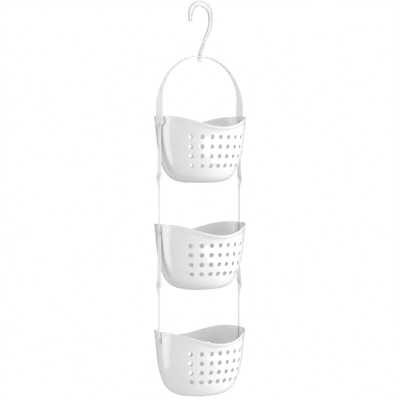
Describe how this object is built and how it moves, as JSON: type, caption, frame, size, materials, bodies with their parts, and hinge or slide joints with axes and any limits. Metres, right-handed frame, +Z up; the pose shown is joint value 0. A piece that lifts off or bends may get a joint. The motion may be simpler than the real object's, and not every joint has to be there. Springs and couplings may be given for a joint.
{
  "type": "hanging shower caddy",
  "caption": "Hanging shower caddy: a swivel hook and arched strap carry oval perforated plastic baskets one under another on jointed link straps.",
  "frame": {"origin": "on the axis of the rod that the hook hangs on, at the middle of the hook's depth", "axes": "+X along the baskets' length to the right, -Y to the front, +Z up"},
  "size_m": [0.2402, 0.205, 0.9454],
  "materials": {
    "basket": "white injection-moulded polypropylene, satin gloss",
    "strap": "white flexible polypropylene, satin gloss",
    "hook": "white moulded plastic, gloss",
    "fastener": "white moulded plastic, satin"
  },
  "bodies": {
    "hook": {"hook": "hook", "hook_cap": "fastener"},
    "handle": {"handle_strap": "strap", "top_button_left": "fastener", "top_button_right": "fastener", "upper_pin_left": "fastener", "upper_pin_right": "fastener"},
    "top_basket": {"top_basket": "basket"},
    "upper_links": {"upper_link_left": "strap", "upper_link_right": "strap", "middle_button_left": "fastener", "middle_button_right": "fastener", "lower_pin_left": "fastener", "lower_pin_right": "fastener"},
    "middle_basket": {"middle_basket": "basket"},
    "lower_links": {"lower_link_left": "strap", "lower_link_right": "strap", "bottom_button_left": "fastener", "bottom_button_right": "fastener"},
    "bottom_basket": {"bottom_basket": "basket"}
  },
  "joints": [
    {"name": "hook_swivel", "type": "hinge", "parent": "hook", "child": "handle", "pos_m": [0, 0, -0.0935], "axis": [0, 0, 1], "continuous": true},
    {"name": "top_basket_tilt", "type": "hinge", "parent": "handle", "child": "top_basket", "pos_m": [0, 0, -0.26], "axis": [1, 0, 0], "range_deg": [-12, 12]},
    {"name": "upper_link_swing", "type": "hinge", "parent": "handle", "child": "upper_links", "pos_m": [0, 0, -0.3812], "axis": [1, 0, 0], "range_deg": [-20, 20]},
    {"name": "middle_basket_tilt", "type": "hinge", "parent": "upper_links", "child": "middle_basket", "pos_m": [0, 0, -0.5155], "axis": [1, 0, 0], "range_deg": [-12, 12]},
    {"name": "lower_link_swing", "type": "hinge", "parent": "upper_links", "child": "lower_links", "pos_m": [0, 0, -0.6367], "axis": [1, 0, 0], "range_deg": [-20, 20]},
    {"name": "bottom_basket_tilt", "type": "hinge", "parent": "lower_links", "child": "bottom_basket", "pos_m": [0, 0, -0.771], "axis": [1, 0, 0], "range_deg": [-12, 12]}
  ]
}
